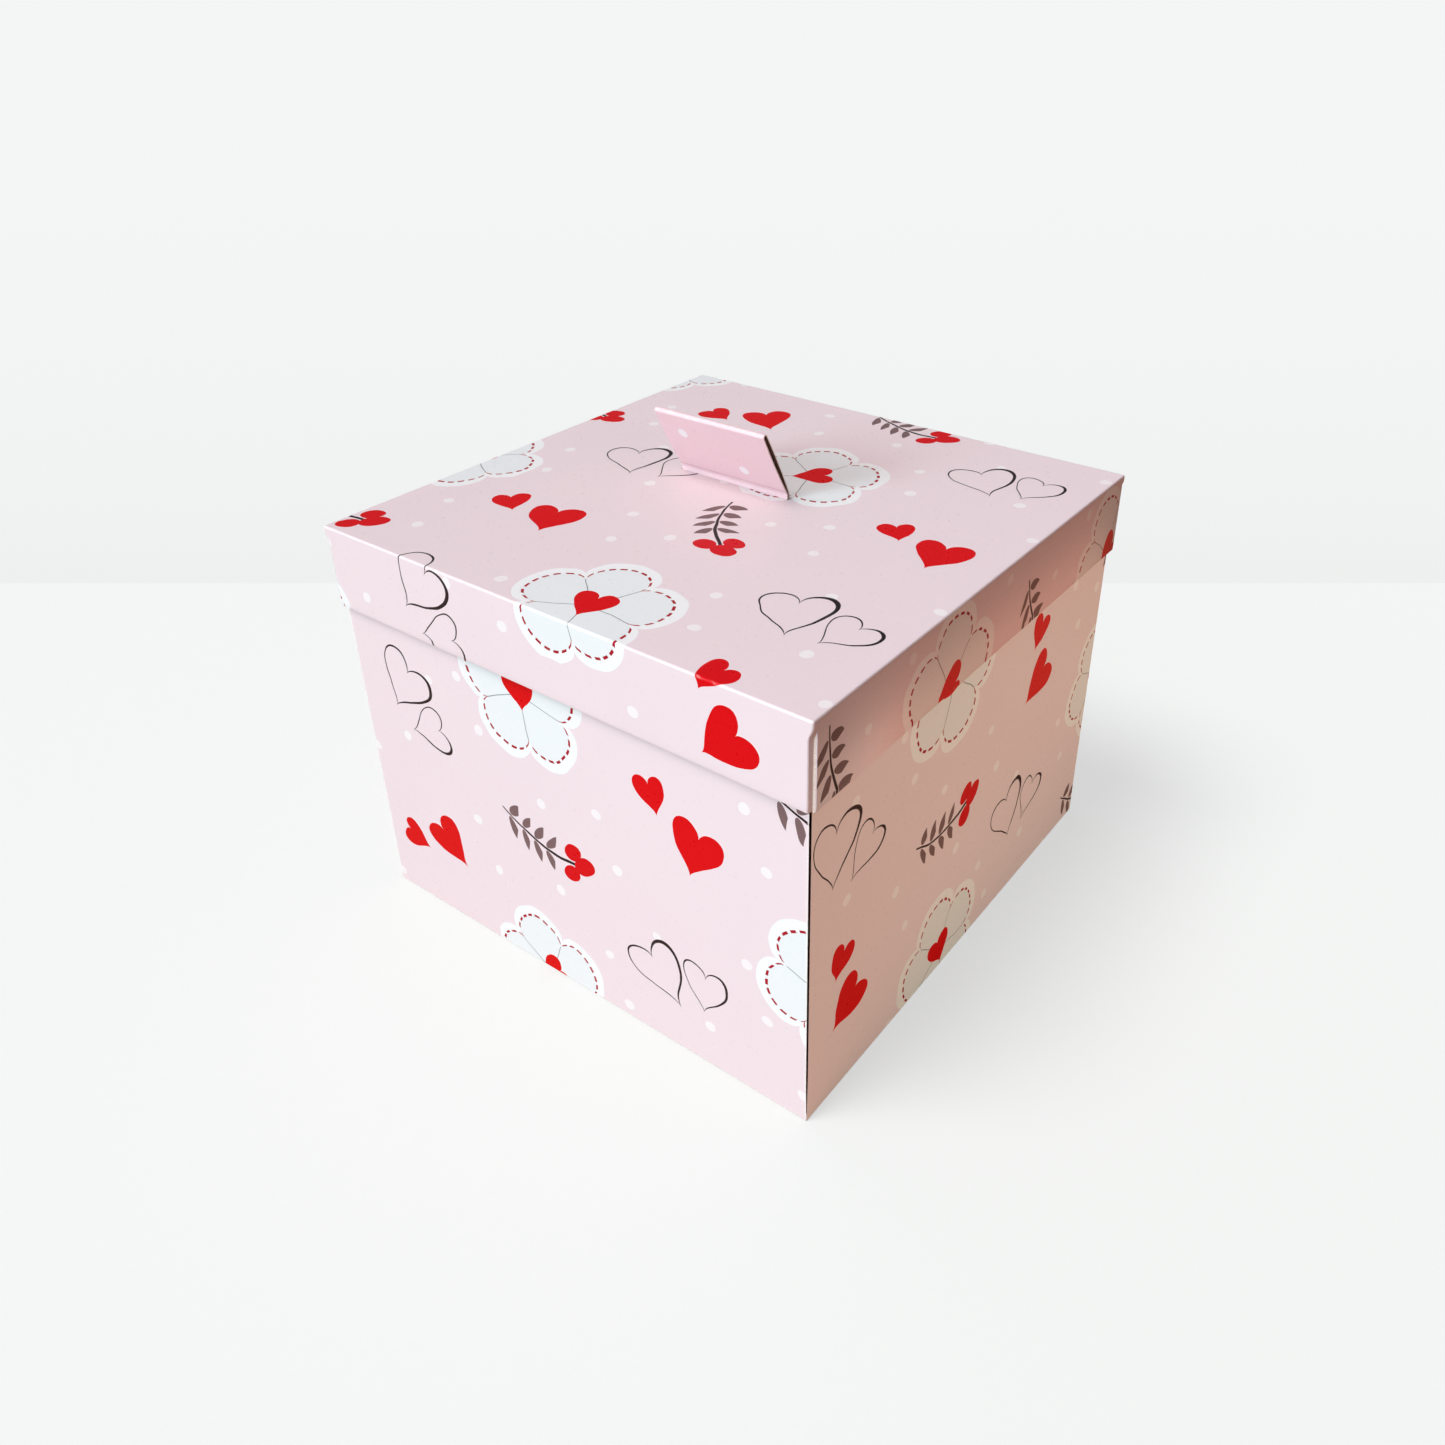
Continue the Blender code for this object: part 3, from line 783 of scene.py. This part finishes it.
def make_handle(materials):
    """The folded strip: printed outside, plain inside with dark brown painted shade between its leaves, pale
    cut ends, glued under the lid.
    """
    line = handle_line()
    bm = bmesh.new()
    sheet = bm.loops.layers.uv.new("sheet")
    wear = bm.verts.layers.float.new("wear")
    half = handle_width / 2
    across = [-half, strip_edge - half, *(handle_width * (i / 8 - 0.5) for i in range(1, 8))]
    across += [half - strip_edge, half]
    run = [0.0]
    for a, b in zip(line, line[1:]):
        run.append(run[-1] + sqrt((b[0] - a[0]) ** 2 + (b[1] - a[1]) ** 2))
    last_i, last_j = len(line) - 1, len(across) - 1
    layers = {}
    for face_way in (1, -1):
        for i, (y, z) in enumerate(line):
            before, after = line[max(i - 1, 0)], line[min(i + 1, last_i)]
            dy, dz = after[0] - before[0], after[1] - before[1]
            size = sqrt(dy * dy + dz * dz)
            for j, x in enumerate(across):
                off = face_way * (handle_card / 2 - (strip_edge if j in (0, last_j) else 0.0))
                up = z - dy / size * off + box_height
                spot = Vector((x + handle_x, y + dz / size * off + handle_y, up))
                if z < 0.0:
                    spot.z -= sag_at(spot)
                vert = bm.verts.new(spot)
                vert[wear] = max(0.0, 1 - abs(i - last_i / 2) / 7) if face_way == 1 else 0.0
                layers[face_way, i, j] = vert

    def skin(keys, paint):
        """One face of the strip in its paint."""
        face = bm.faces.new([layers[key] for key in keys])
        face.material_index = paint
        face.smooth = True
        for loop, (_, i, j) in zip(face.loops, keys):
            loop[sheet].uv = (across[j], run[i] - run[-1] / 2)

    for i in range(last_i):
        for j in range(last_j):
            skin([(1, i, j), (1, i, j + 1), (1, i + 1, j + 1), (1, i + 1, j)], 0)
            # Above the lid the leaves' inner faces take the dark brown painted shade of the gap between them
            inside = 3 if line[i][1] > 0.0 else 2
            skin([(-1, i, j), (-1, i + 1, j), (-1, i + 1, j + 1), (-1, i, j + 1)], inside)
        for j in (0, last_j):
            skin([(1, i, j), (1, i + 1, j), (-1, i + 1, j), (-1, i, j)], 1)
    for j in range(last_j):
        for i in (0, last_i):
            skin([(1, i, j), (1, i, j + 1), (-1, i, j + 1), (-1, i, j)], 1)
    bmesh.ops.recalc_face_normals(bm, faces=bm.faces)
    piece = piece_from(bm, "handle_strip", materials, 50.0)
    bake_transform(piece)
    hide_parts("handle_loop", "handle_flanges")


# The walls


def card_panel_tree(materials):
    """A cut card panel, face up: straight foot, eased sides, round top corners and a mitred back."""
    sizes = ("Foot Width", "Top Width", "Height", "Corner Radius", "Card", "Ease Height")
    shares = ("Back Share", "Ease Share")
    takes = dict.fromkeys(sizes + shares, "Float") | {"Sheet Place": "Vector"}
    tree, given = new_group("card_panel", takes, {"Geometry": "Geometry"}, "GeometryNodeTree")
    outline = put(
        tree, "GeometryNodeCurvePrimitiveQuadrilateral",
        {"Height": given["Height"], "Bottom Width": given["Foot Width"], "Top Width": given["Top Width"],
         "Offset": 0.0},
        mode="TRAPEZOID",
    )
    outline = put(tree, "GeometryNodeSubdivideCurve", {"Curve": outline, "Cuts": 23})
    spot = put(tree, "GeometryNodeInputPosition")
    y = put(tree, SPLIT, [spot]).outputs["Y"]
    above_foot = steps(tree, given["Height"], ("MULTIPLY_ADD", 0.5, y))
    # The panel is full at its crease and draws in just above it
    ease = steps(tree, above_foot, ("DIVIDE", given["Ease Height"]))
    ease = put(tree, RANGE, [ease, 0.0, 1.0, 0.0, 1.0], interpolation_type="SMOOTHSTEP")
    ease = steps(tree, 1.0, ("SUBTRACT", steps(tree, ease, ("MULTIPLY", given["Ease Share"]))))
    eased = steps(tree, spot, ("MULTIPLY", put(tree, JOIN, [ease, 1.0, 1.0])), kind=VECTOR)
    outline = put(tree, "GeometryNodeSetPosition", {"Geometry": outline, "Position": eased})
    # Only the top corners are round
    high = steps(tree, above_foot, ("DIVIDE", 0.999), ("GREATER_THAN", given["Height"]))
    radius = steps(tree, high, ("MULTIPLY", given["Corner Radius"]))
    outline = put(
        tree, "GeometryNodeFilletCurve", {"Curve": outline, "Count": 8, "Radius": radius}, mode="POLY"
    )
    front = put(tree, "GeometryNodeFillCurve", {"Curve": outline}, mode="NGONS")
    lift = put(tree, JOIN, [0.0, steps(tree, given["Height"], ("MULTIPLY", 0.5)), 0.0])
    front = put(tree, "GeometryNodeTransform", {"Geometry": front, "Translation": lift})
    turned_over = put(tree, "GeometryNodeFlipFaces", {"Mesh": front})
    grown = put(
        tree, "GeometryNodeExtrudeMesh",
        {"Mesh": turned_over, "Offset Scale": given["Card"], "Individual": False}, mode="FACES",
    )
    narrow = put(tree, JOIN, [given["Back Share"], 1.0, 1.0])
    moved = steps(tree, spot, ("MULTIPLY", narrow), kind=VECTOR)
    body = put(
        tree, "GeometryNodeSetPosition",
        {"Geometry": grown, "Selection": grown.outputs["Top"], "Position": moved},
    )
    # Paint: 0 on the face, 1 on the cut edges, 2 on the back
    back = steps(tree, grown.outputs["Top"], ("ADD", 1.0))
    whole = put(tree, "GeometryNodeJoinGeometry")
    for part, paint in ((body, back), (front, 0)):
        painted = put(
            tree, "GeometryNodeStoreNamedAttribute", {"Geometry": part, "Name": "paint", "Value": paint},
            data_type="INT", domain="FACE",
        )
        tree.links.new(painted.outputs[0], whole.inputs[0])
    whole = put(tree, "GeometryNodeMergeByDistance", {"Geometry": whole, "Distance": weld})
    place = steps(tree, spot, ("ADD", given["Sheet Place"]), kind=VECTOR)
    whole = put(
        tree, "GeometryNodeStoreNamedAttribute", {"Geometry": whole, "Name": "sheet", "Value": place},
        data_type="FLOAT2", domain="CORNER",
    )
    whole = put(tree, "GeometryNodeRealizeInstances", {"Geometry": whole})
    kind = put(tree, "GeometryNodeInputNamedAttribute", {"Name": "paint"}, data_type="INT")
    for number, material in enumerate(materials):
        feeds = {"Geometry": whole, "Selection": steps(tree, kind, ("COMPARE", float(number), 0.5)),
                 "Material": material}
        whole = put(tree, "GeometryNodeSetMaterial", feeds)
    put(tree, "NodeGroupOutput", [whole])
    return tree


def from_nodes(tree, values, name, edge_round=None):
    """The plain mesh that a Geometry Nodes tree gives for these sizes, with round edges where asked."""
    sockets = {item.name: item.identifier for item in tree.interface.items_tree if item.in_out == "INPUT"}
    maker = bpy.data.objects.new(name + "_maker", bpy.data.meshes.new(name + "_maker"))
    bpy.context.scene.collection.objects.link(maker)
    nodes = maker.modifiers.new(name, "NODES")
    nodes.node_group = tree
    for label, value in values.items():
        nodes[sockets[label]] = value
    if edge_round:
        edges = maker.modifiers.new("cut_edges", "BEVEL")
        edges.limit_method = "ANGLE"
        edges.angle_limit = radians(40)
        edges.width = edge_round
        edges.segments = 4
    done = maker.evaluated_get(bpy.context.evaluated_depsgraph_get())
    mesh = bpy.data.meshes.new_from_object(done)
    bpy.data.objects.remove(maker)
    mesh.materials.pop(index=0)
    mesh.name = name
    return mesh


def stand_up(mesh, index, out, low):
    """Stands a flat mesh up on its side of the box, face outwards, and shades it smooth."""
    stand = Matrix.Rotation(index * pi / 2, 4, "Z") @ Matrix.Translation((0.0, -out, low))
    mesh.transform(stand @ Matrix.Rotation(pi / 2, 4, "X"))
    for face in mesh.polygons:
        face.use_smooth = True


def paint_edge_highlight(mesh, index):
    """Parts a narrow border off a wall's face. On front and back the border along the upright edges is
    painted pale ivory as a highlight."""
    bm = bmesh.new()
    bm.from_mesh(mesh)
    face = max(bm.faces, key=lambda item: item.calc_area() * (item.normal.z > 0.9))
    ring = bmesh.ops.inset_region(bm, faces=[face], thickness=highlight_border, use_even_offset=False)["faces"]
    for part in ring:
        upright = abs(part.calc_center_median().x) > wall_half - 2 * mm
        # Front and back walls: a painted highlight in the pale board colour along the upright edges
        part.material_index = 1 if upright and index % 2 == 0 else 0
    bm.to_mesh(mesh)
    bm.free()


def make_walls(materials):
    """The four outer walls, cut from four places of the printed sheet."""
    tree = card_panel_tree(materials)
    for index, side in enumerate(sides):
        # The gap to the corner at the crease, above the ease and at the top
        foot_gap, eased_gap, top_gap = wall_gaps[index % 2]
        sizes = {
            "Foot Width": 2 * (wall_half - foot_gap),
            "Top Width": 2 * (wall_half - foot_gap - top_gap + eased_gap),
            "Height": wall_top, "Corner Radius": wall_corner_radius, "Card": wall_card,
            "Back Share": 1 - wall_mitres[index % 2] / (wall_half - foot_gap),
            "Ease Height": wall_ease_height, "Ease Share": (eased_gap - foot_gap) / wall_half,
            "Sheet Place": (*walls_on_sheet[index], 0.0),
        }
        mesh = from_nodes(tree, sizes, "wall_print_" + side, wall_edge_round)
        paint_edge_highlight(mesh, index)
        stand_up(mesh, index, wall_half, 0.0)
        piece = show("wall_print_" + side, mesh, 35.0)
        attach(piece, "wall_" + side)
        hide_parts("wall_" + side)


# Stitches on the mats and pockets


def stitch_tree():
    """Machine stitches along a rectangle with round corners. Those of the top run may be left out."""
    sizes = ("Width", "Height", "Inset", "Corner Radius", "Pitch", "Stitch Length", "Thread", "Open Top")
    takes = dict.fromkeys(sizes, "Float") | {"Finish": "Material"}
    tree, given = new_group("stitch_run", takes, {"Geometry": "Geometry"}, "GeometryNodeTree")
    width, height = [
        steps(tree, given["Inset"], ("MULTIPLY_ADD", -2.0, given[size])) for size in ("Width", "Height")
    ]
    path = put(tree, "GeometryNodeCurvePrimitiveQuadrilateral", [width, height])
    path = put(
        tree, "GeometryNodeFilletCurve", {"Curve": path, "Count": 4, "Radius": given["Corner Radius"]},
        mode="POLY",
    )
    places = put(tree, "GeometryNodeCurveToPoints", {"Curve": path, "Length": given["Pitch"]}, mode="LENGTH")
    y = put(tree, SPLIT, [put(tree, "GeometryNodeInputPosition")]).outputs["Y"]
    top = steps(tree, height, ("MULTIPLY_ADD", 0.5, -1 * mm))
    above = steps(tree, y, ("GREATER_THAN", top), ("MULTIPLY", given["Open Top"]))
    kept = put(tree, "GeometryNodeDeleteGeometry", {"Geometry": places, "Selection": above})
    stitch = put(tree, "GeometryNodeMeshUVSphere", {"Segments": 6, "Rings": 6, "Radius": 0.5})
    thick = put(tree, JOIN, [given["Thread"], given["Thread"], given["Stitch Length"]])
    stitch = put(tree, "GeometryNodeTransform", {"Geometry": stitch, "Scale": thick})
    run = put(
        tree, "GeometryNodeInstanceOnPoints",
        {"Points": kept, "Instance": stitch, "Rotation": places.outputs["Rotation"]},
    )
    whole = put(tree, "GeometryNodeRealizeInstances", {"Geometry": run})
    whole = put(tree, "GeometryNodeSetMaterial", {"Geometry": whole, "Material": given["Finish"]})
    put(tree, "NodeGroupOutput", [whole])
    return tree


def sew_leaves(mat_thread, pocket_thread):
    """The stitches on the mats, all round, and on the pockets, along the three sewn sides."""
    tree = stitch_tree()
    mat = {
        "Width": 2 * (inner_half - 2 * page_margin), "Height": mat_height, "Inset": 0.0065,
        "Corner Radius": 0.0015, "Pitch": 0.0040, "Stitch Length": 0.0029, "Thread": 0.00045,
        "Open Top": 0.0, "Finish": mat_thread,
    }
    pocket = {
        "Width": 2 * (middle_half - 2 * page_margin), "Height": pocket_height, "Inset": 0.0025,
        "Corner Radius": 0.0010, "Pitch": 0.0036, "Stitch Length": 0.0026, "Thread": 0.00034,
        "Open Top": 1.0, "Finish": pocket_thread,
    }
    runs = (
        ("mat_stitches_", "inner_leaf_", mat, inner_half, inner_foot + 2 * page_margin, "page_card"),
        ("pocket_stitches_", "middle_leaf_", pocket, middle_half, middle_foot + page_margin, "pocket_card"),
    )
    for name, body, values, half, low, slot in runs:
        for index, side in enumerate(sides):
            mesh = from_nodes(tree, values, name + side)
            stand_up(mesh, index, half - leaf_card - glue_line - page_card, low + values["Height"] / 2)
            piece = show(name + side, mesh)
            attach(piece, body + side)


def dress(material, *names):
    """Gives CAD nodes their finished material."""
    for name in names:
        for slot in frame["nodes"][name].material_slots:
            slot.material = material


def on_sides(name):
    """The names of the four nodes of this kind."""
    return [name + side for side in sides]


# Camera, floor and air. The camera sees a share of the floor as its own glow and the rest as lit paper.
# The air's light grows towards the window in front
view_turn = radians(36.0)
view_height = radians(30.0)
view_middle = (-0.007472, 0.02905, 0.057)
view_distance = 0.373377
view_lens = 30.357
view_shift = (-0.0427, -0.0591)
studio_white = "#F5F7F6"
floor_reach = 12.0
backdrop_line = 0.469
backdrop_shades = ("#EDEEED", "#F1F3F2", studio_white)
floor_share = 0.539
floor_glow = 1.200
floor_seen = "#EFFCFE"
floor_bounce = "#B4876E"
air_light = 0.26
air_slope = 0.25
air_seen_in_gloss = 0.15
air_tones = ("#F0F8FF", "#FFE8E4")
# Suns: the way towards the lamp, strength, spread in degrees and colour
suns = {
    "key": ((-0.33, -0.88, 0.33), 0.79, 22.0, "#D9F9FF"),
    "overhead": ((-0.231, -0.400, 0.887), 0.597, 26.0, "#FFF6F2"),
}
# Fills: place, what it shines at, width and depth, power and colour, and what its flag keeps it off or on
fills = {
    "low_fill": ((0.3436, 0.03, 0.012), (0.075, 0.0, 0.020), (0.26, 0.018), 0.31, "#FFFBE0",
                 "EXCLUDE", ("floor", "lid_print")),
    "side_fill": ((0.60, 0.15, 0.10), (0.075, 0.0, 0.060), (0.30, 0.30), 0.45, "#FFB57C",
                  "EXCLUDE", ("floor", "lid_print")),
    "hem_fill": ((0.0890, 0.006, 0.0910), (0.0750, 0.006, 0.1030), (0.124, 0.010), 0.00455, "#FFC2A2",
                 "INCLUDE", ("lid_print",)),
    "corner_fill": ((0.0890, -0.064, 0.0910), (0.0750, -0.064, 0.1030), (0.030, 0.010), 0.00098, "#FFF8DE",
                    "INCLUDE", ("lid_print",)),
    "back_fill": ((-0.30, 0.52, 0.085), (-0.02, 0.060, 0.060), (0.50, 0.10), 2.0, "#FFF1EC",
                  "EXCLUDE", ("floor",)),
}


def camera_place():
    """Where the camera stands, and the way from the box back to it."""
    back = Vector((sin(view_turn) * cos(view_height), -cos(view_turn) * cos(view_height), sin(view_height)))
    return Vector(view_middle) + back * view_distance, back


def hang_lamp(name, kind, place, toward, power, code):
    """A lamp that shines from its place, away from where it looks back to."""
    lamp = bpy.data.lights.new(name, kind)
    lamp.energy = power
    lamp.color = tint(code)[:3]
    holder = bpy.data.objects.new(name, lamp)
    holder.location = place
    holder.rotation_euler = Vector(toward).to_track_quat("Z", "Y").to_euler()
    bpy.context.scene.collection.objects.link(holder)
    return holder, lamp


def flag(holder, state, things):
    """Keeps a lamp off these things with EXCLUDE, or on these alone with INCLUDE, and stops its bounces,
    so that what it lights throws none of it on."""
    card = bpy.data.collections.new("flag_of_" + holder.name)
    for index, thing in enumerate(things):
        card.objects.link(bpy.data.objects[thing])
        card.collection_objects[index].light_linking.link_state = state
    holder.light_linking.receiver_collection = card
    holder.data.cycles.max_bounces = 0


def lay_floor():
    """A floor that runs into its backdrop. The paper behind the box turns a shade darker past a line
    and pales again further off. It shows its own pale colour to the camera and throws a warm one."""
    mesh = bpy.data.meshes.new("floor")
    bm = bmesh.new()
    bmesh.ops.create_grid(bm, x_segments=1, y_segments=1, size=floor_reach)
    bm.to_mesh(mesh)
    bm.free()
    material, tree, at = new_material("studio_floor")
    away = Vector((-sin(view_turn), cos(view_turn), 0.0))
    far = put(tree, VECTOR, [at, away], operation="DOT_PRODUCT")
    far = steps(tree, far, ("SUBTRACT", camera_place()[0].dot(away)))
    past = steps(tree, far, ("GREATER_THAN", backdrop_line))
    share = steps(tree, backdrop_line, ("DIVIDE", far))
    paper = put(tree, "ShaderNodeValToRGB", [put(tree, RANGE, [share, 1.0, 0.35, 0.0, 1.0])])
    paper.color_ramp.elements.new(0.30)
    for stop, shade in zip(paper.color_ramp.elements, backdrop_shades):
        stop.color = tint(shade)
    seen = put(tree, "ShaderNodeLightPath").outputs["Is Camera Ray"]
    soft = put(tree, "ShaderNodeBsdfDiffuse", {"Color": ink_over(tree, floor_bounce, seen, floor_seen)})
    shown = ink_over(tree, studio_white, past, paper)
    glow = put(tree, "ShaderNodeEmission", {"Color": shown, "Strength": floor_glow})
    share = steps(tree, seen, ("MULTIPLY", floor_share))
    put(tree, "ShaderNodeOutputMaterial", [put(tree, "ShaderNodeMixShader", [share, soft, glow])])
    mesh.materials.append(material)
    floor = show("floor", mesh)
    floor.location.z = -0.1 * mm


def fill_air():
    """Pale air: the window in front is cool and bright, the ceiling a little warm."""
    world = bpy.data.worlds.new("studio_air")
    bpy.context.scene.world = world
    world.use_nodes = True
    tree = world.node_tree
    tree.nodes.clear()
    ray = put(tree, "ShaderNodeLightPath").outputs
    seen = steps(tree, ray["Is Camera Ray"], ("MAXIMUM", ray["Is Glossy Ray"]))
    behind = steps(tree, ray["Is Glossy Ray"], ("MULTIPLY_ADD", air_seen_in_gloss - 1.0, 1.0))
    shown = put(tree, "ShaderNodeBackground", [tint(studio_white), behind])
    way = put(tree, "ShaderNodeTexCoord").outputs["Generated"]
    facing = put(tree, VECTOR, [way, (-0.6, -0.8, 0.0)], operation="DOT_PRODUCT")
    strength = steps(tree, facing, ("MULTIPLY_ADD", air_slope, air_light))
    up = put(tree, SPLIT, [way]).outputs["Z"]
    light = put(tree, "ShaderNodeBackground", [ink_over(tree, air_tones[0], up, air_tones[1]), strength])
    put(tree, "ShaderNodeOutputWorld", [put(tree, "ShaderNodeMixShader", [seen, light, shown])])


def light_stage():
    """The suns and the flagged fills."""
    for name, (toward, strength, spread, code) in suns.items():
        holder, lamp = hang_lamp(name, "SUN", toward, toward, strength * pi, code)
        lamp.angle = radians(spread)
        if name == "key":
            flag(holder, "EXCLUDE", ("floor",))
    for name, (place, aim, size, power, code, state, things) in fills.items():
        holder, lamp = hang_lamp(name, "AREA", place, Vector(place) - Vector(aim), power, code)
        lamp.shape = "RECTANGLE"
        lamp.size, lamp.size_y = size
        holder.visible_camera = False
        holder.visible_glossy = False
        flag(holder, state, things)


def set_camera():
    """The camera of the photo's view."""
    eye = bpy.data.cameras.new("photo_view")
    eye.sensor_width = 36.0
    eye.lens = view_lens
    eye.shift_x, eye.shift_y = view_shift
    eye.clip_start = 10 * mm
    camera = bpy.data.objects.new("photo_view", eye)
    camera.location, back = camera_place()
    camera.rotation_euler = (-back).to_track_quat("-Z", "Y").to_euler()
    bpy.context.scene.collection.objects.link(camera)
    bpy.context.scene.camera = camera
    bpy.context.scene.view_settings.view_transform = "Standard"


print_card = printed_laminate("gloss_laminated_printed_board", party_print(), "#F0DEE4", "#EEDBE2")
tab_card = printed_laminate("gloss_laminated_handle_strip", strip_print(), "#F8D4DC", "#F6D1D9")
# Pale board of the cut edges, also used as the painted highlight along the front and back walls' upright
# edges
edge_core_and_highlight = board_core("cut_edge_and_painted_highlight_of_ivory_board", "#FFFBF8", "#F3EBE6")
skirt_end = board_core("cut_skirt_end_of_ivory_board", "#F0DBD2", "#DCC2B8")
reverse = plain_board("uncoated_white_reverse", "#FBF7F4", "#F1EBE7", roughness=0.72, grain_mm=0.6)
# Dark brown board as painted shade in the gap between the handle's two leaves
painted_shade_inside = plain_board("painted_shade_inside_of_strip", "#8A6C5C", "#76594A", roughness=0.75, grain_mm=0.5)
cream = plain_board("uncoated_cream_board", "#F8F1E6", "#EDE3D5", roughness=0.78, grain_mm=0.6)
in_card = card_point()
page = printed_paper("small_print_page_paper", in_card, "#F6EFE8", "#EDE4DC", "#D9848F", "#E6B4BA")
pocket = printed_paper("small_print_pocket_paper", in_card, "#F4D6DB", "#ECC8CE", "#FBF4F3", "#FBF4F3")
rose = linen_board("linen_pressed_rose_board", in_card, "#DD9AA4", "#CB8590", roughness=0.70)
red = linen_board("linen_pressed_red_board", in_card, "#D2222F", "#B81621", roughness=0.48, dots="#F6E9DF")
ivory_thread = sewing_thread("spun_ivory_thread", "#FBF6EF", "#E4DACD")
red_thread = sewing_thread("spun_red_thread", "#C8202C", "#99121C")

make_lid([print_card, skirt_end, reverse])
make_handle([tab_card, edge_core_and_highlight, reverse, painted_shade_inside])
make_walls([print_card, edge_core_and_highlight, reverse])
sew_leaves(ivory_thread, red_thread)
dress(reverse, "base_floor")
dress(page, "base_page", "middle_page", *on_sides("wall_page_"))
dress(rose, "middle_floor", *on_sides("middle_leaf_"), *on_sides("photo_mat_"))
dress(pocket, *on_sides("pocket_"))
dress(cream, "inner_floor", "gift_tray", *on_sides("inner_leaf_"))
dress(red, "gift_lid")
lay_floor()
fill_air()
light_stage()
set_camera()
